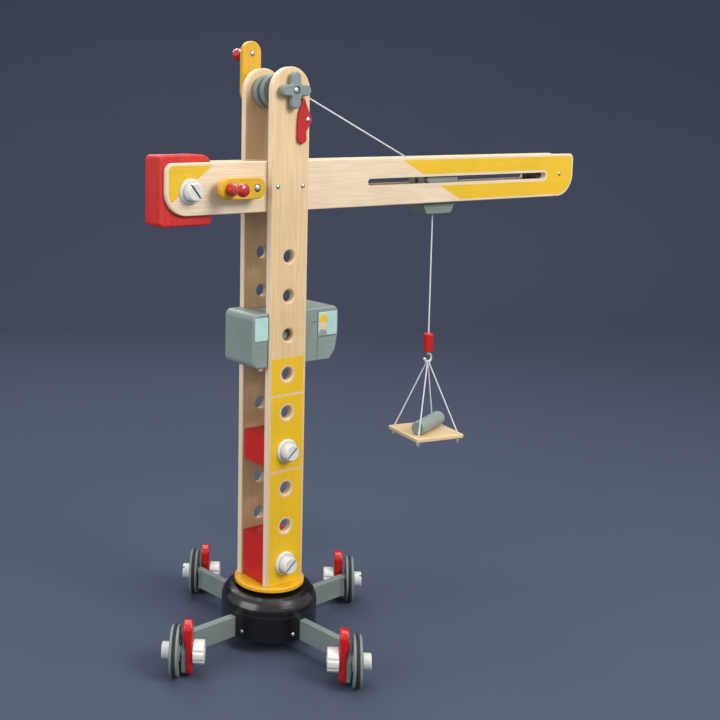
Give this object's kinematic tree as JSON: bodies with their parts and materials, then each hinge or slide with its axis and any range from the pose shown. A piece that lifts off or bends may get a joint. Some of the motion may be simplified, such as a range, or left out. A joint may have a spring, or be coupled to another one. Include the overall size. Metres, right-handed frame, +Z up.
{
  "type": "toy tower crane",
  "caption": "Wooden toy tower crane on a wheeled base: slewing mast, slotted jib with trolley, crank winch, hook with hung platform, sliding cab and counterweight.",
  "frame": {"origin": "on the floor below the slewing axis, which is the centre line of the mast", "axes": "+Z up along the mast, +X along the jib towards its tip, +Y from the pawl side to the winch handle side"},
  "size_m": [0.7564, 0.3902, 0.805],
  "materials": {
    "birch": "clear satin varnish",
    "yellow_paint": "yellow glazed beech",
    "red_paint": "red glazed beech",
    "red_lacquer": "glossy red",
    "grey_paint": "grey-green glazed beech",
    "grey_plastic": "grey-green moulded",
    "black_plastic": "black glossy moulded",
    "white_plastic": "white moulded",
    "steel": "zinc plated",
    "rubber": "matt",
    "cord": "braided white cord"
  },
  "bodies": {
    "base": {"base_drum": "black_plastic", "drum_screws": "steel", "outrigger_front_left": "grey_plastic", "outrigger_front_right": "grey_plastic", "outrigger_rear_left": "grey_plastic", "outrigger_rear_right": "grey_plastic", "wheel_bolts": "white_plastic", "wheel_nuts": "white_plastic", "slewing_bolt": "steel", "slewing_nut": "steel", "slewing_washer": "black_plastic"},
    "tower": {"turntable_disc": "yellow_paint", "mast_plank_front": "birch", "mast_plank_back": "birch", "lower_spacer_block": "red_paint", "middle_spacer_block": "red_paint", "mast_bolts": "white_plastic", "frame_nuts": "white_plastic", "counterweight_bolt": "white_plastic", "counterweight": "red_paint", "jib_plank_front": "birch", "jib_plank_back": "birch", "jib_tip_spacer": "birch", "frame_screws": "steel", "pawl_screw": "steel", "hoist_cord_upper": "cord"},
    "winch": {"winch_shaft": "steel", "winch_spool": "grey_plastic", "ratchet_cross": "grey_plastic", "ratchet_screw": "steel", "winch_crank_arm": "yellow_paint", "winch_crank_knob": "red_paint", "winch_crank_screw": "steel"},
    "pawl_lever": {"pawl": "red_lacquer"},
    "trolley_drive": {"trolley_reel": "black_plastic", "trolley_crank_arm": "yellow_paint", "trolley_crank_knob": "red_paint", "trolley_crank_screw": "steel"},
    "end_roller": {"jib_end_roller": "black_plastic"},
    "trolley_car": {"trolley": "grey_paint", "trolley_guide_pin": "steel", "hoist_cord_lower": "cord"},
    "hook_block": {"hook_weight": "red_paint", "hook": "steel"},
    "load_stage": {"load_platform": "birch", "platform_cords": "cord", "load_log": "grey_paint"},
    "cab_lift": {"cab": "grey_paint"},
    "wheel_set_front_left": {"wheel_front_left": "grey_plastic", "tyre_front_left": "rubber"},
    "lever_front_left": {"parking_lever_front_left": "red_lacquer"},
    "wheel_set_front_right": {"wheel_front_right": "grey_plastic", "tyre_front_right": "rubber"},
    "lever_front_right": {"parking_lever_front_right": "red_lacquer"},
    "wheel_set_rear_left": {"wheel_rear_left": "grey_plastic", "tyre_rear_left": "rubber"},
    "lever_rear_left": {"parking_lever_rear_left": "red_lacquer"},
    "wheel_set_rear_right": {"wheel_rear_right": "grey_plastic", "tyre_rear_right": "rubber"},
    "lever_rear_right": {"parking_lever_rear_right": "red_lacquer"}
  },
  "joints": [
    {"name": "slew", "type": "hinge", "parent": "base", "child": "tower", "pos_m": [0, 0, 0.08], "axis": [0, 0, 1], "continuous": true},
    {"name": "winch_turn", "type": "hinge", "parent": "tower", "child": "winch", "pos_m": [0, 0, 0.7385], "axis": [0, -1, 0], "range_deg": [-530, 652.5]},
    {"name": "pawl_swing", "type": "hinge", "parent": "tower", "child": "pawl_lever", "pos_m": [0.0235, -0.037, 0.702], "axis": [0, 1, 0], "range_deg": [-18, 24]},
    {"name": "trolley_crank_turn", "type": "hinge", "parent": "tower", "child": "trolley_drive", "pos_m": [-0.0595, 0, 0.6175], "axis": [0, 1, 0], "range_deg": [-684, 1029]},
    {"name": "end_roller_turn", "type": "hinge", "parent": "tower", "child": "end_roller", "pos_m": [0.5085, 0, 0.6177], "axis": [0, 1, 0], "range_deg": [-486, 730]},
    {"name": "trolley_travel", "type": "slide", "parent": "tower", "child": "trolley_car", "axis": [1, 0, 0], "range_m": [-0.113, 0.17], "deforming": ["hoist_cord_upper"]},
    {"name": "hoist_travel", "type": "slide", "parent": "trolley_car", "child": "hook_block", "axis": [0, 0, 1], "range_m": [-0.138, 0.17], "deforming": ["hoist_cord_lower"]},
    {"name": "load_swing", "type": "hinge", "parent": "hook_block", "child": "load_stage", "pos_m": [0.2885, 0, 0.3469], "axis": [1, 0, 0], "range_deg": [-20, 20]},
    {"name": "cab_travel", "type": "slide", "parent": "tower", "child": "cab_lift", "axis": [0, 0, 1], "range_m": [-0.092, 0.128]},
    {"name": "roll_front_left", "type": "hinge", "parent": "base", "child": "wheel_set_front_left", "pos_m": [-0.16613, -0.024, 0.0325], "axis": [0.7771, -0.6293, 0], "continuous": true},
    {"name": "lever_swing_front_left", "type": "hinge", "parent": "base", "child": "lever_front_left", "pos_m": [-0.15338, -0.03432, 0.0325], "axis": [-0.7771, 0.6293, 0], "range_deg": [-18, 18]},
    {"name": "roll_front_right", "type": "hinge", "parent": "base", "child": "wheel_set_front_right", "pos_m": [0.01106, -0.16749, 0.0325], "axis": [0.7771, -0.6293, 0], "continuous": true},
    {"name": "lever_swing_front_right", "type": "hinge", "parent": "base", "child": "lever_front_right", "pos_m": [-0.00168, -0.15717, 0.0325], "axis": [-0.7771, 0.6293, 0], "range_deg": [-18, 18]},
    {"name": "roll_rear_left", "type": "hinge", "parent": "base", "child": "wheel_set_rear_left", "pos_m": [-0.01106, 0.16749, 0.0325], "axis": [0.7771, -0.6293, 0], "continuous": true},
    {"name": "lever_swing_rear_left", "type": "hinge", "parent": "base", "child": "lever_rear_left", "pos_m": [0.00168, 0.15717, 0.0325], "axis": [0.7771, -0.6293, 0], "range_deg": [-18, 18]},
    {"name": "roll_rear_right", "type": "hinge", "parent": "base", "child": "wheel_set_rear_right", "pos_m": [0.16613, 0.024, 0.0325], "axis": [0.7771, -0.6293, 0], "continuous": true},
    {"name": "lever_swing_rear_right", "type": "hinge", "parent": "base", "child": "lever_rear_right", "pos_m": [0.15338, 0.03432, 0.0325], "axis": [0.7771, -0.6293, 0], "range_deg": [-18, 18]}
  ],
  "couplings": [
    {"joint": "winch_turn", "follows": "hoist_travel", "rad_per_m": 66.667},
    {"joint": "trolley_crank_turn", "follows": "trolley_travel", "rad_per_m": 105.26},
    {"joint": "end_roller_turn", "follows": "trolley_travel", "rad_per_m": 74.627}
  ]
}
